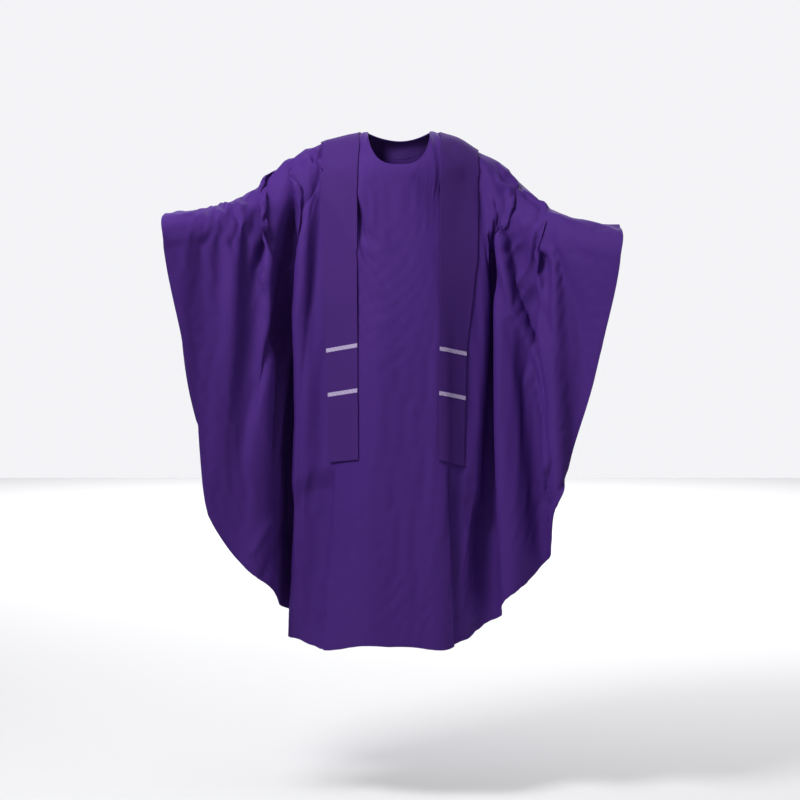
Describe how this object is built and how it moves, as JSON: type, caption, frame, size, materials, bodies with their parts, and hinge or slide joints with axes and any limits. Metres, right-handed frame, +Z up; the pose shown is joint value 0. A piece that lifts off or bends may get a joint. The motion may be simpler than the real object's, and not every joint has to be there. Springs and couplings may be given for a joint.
{
  "type": "chasuble with stole",
  "caption": "Full-cut purple chasuble draped as worn with both arms held out, with a matching two-tailed stole over it whose tails carry pale woven braid bands.",
  "frame": {"origin": "centre of the neck opening, level with the shoulders' ridge", "axes": "+Z up, -Y the way the wearer faces, +X towards the wearer's left hand"},
  "size_m": [1.0201, 0.4367, 1.159],
  "materials": {
    "chasuble_cloth": "matte",
    "facing_cloth": "matte",
    "seam_tape": "matte",
    "stole_cloth": "matte",
    "stole_lining": "satin",
    "interlining": "matte",
    "braid": "satin"
  },
  "bodies": {
    "torso": {"front_centre": "chasuble_cloth", "back_centre": "chasuble_cloth", "front_neck_facing": "facing_cloth", "back_neck_facing": "facing_cloth", "right_shoulder_tape": "seam_tape", "left_shoulder_tape": "seam_tape", "front_hem_facing": "facing_cloth", "back_hem_facing": "facing_cloth"},
    "right_wing": {"right_front_wing": "chasuble_cloth", "right_back_wing": "chasuble_cloth", "right_front_edge_facing": "facing_cloth", "right_back_edge_facing": "facing_cloth", "right_arm_tape": "seam_tape"},
    "left_wing": {"left_front_wing": "chasuble_cloth", "left_back_wing": "chasuble_cloth", "left_front_edge_facing": "facing_cloth", "left_back_edge_facing": "facing_cloth", "left_arm_tape": "seam_tape"},
    "stole": {"stole_yoke_lining": "stole_lining", "stole_yoke_interlining": "interlining", "stole_yoke_face": "stole_cloth"},
    "right_fall": {"right_fall_lining": "stole_lining", "right_fall_interlining": "interlining", "right_fall_face": "stole_cloth", "right_upper_braid": "braid", "right_lower_braid": "braid"},
    "left_fall": {"left_fall_lining": "stole_lining", "left_fall_interlining": "interlining", "left_fall_face": "stole_cloth", "left_upper_braid": "braid", "left_lower_braid": "braid"}
  },
  "joints": [
    {"name": "right_wing_raise", "type": "slide", "parent": "torso", "child": "right_wing", "axis": [0, 0, 1], "range_m": [-0.1, 0.14]},
    {"name": "left_wing_raise", "type": "slide", "parent": "torso", "child": "left_wing", "axis": [0, 0, 1], "range_m": [-0.1, 0.14]},
    {"name": "stole_lift", "type": "slide", "parent": "torso", "child": "stole", "axis": [0, 0, 1], "range_m": [0, 0.8]},
    {"name": "right_fall_swing", "type": "hinge", "parent": "stole", "child": "right_fall", "pos_m": [-0.1325, -0.1075, -0.2], "axis": [-1, 0, 0], "range_deg": [0, 50]},
    {"name": "left_fall_swing", "type": "hinge", "parent": "stole", "child": "left_fall", "pos_m": [0.1325, -0.1075, -0.2], "axis": [-1, 0, 0], "range_deg": [0, 50]}
  ]
}
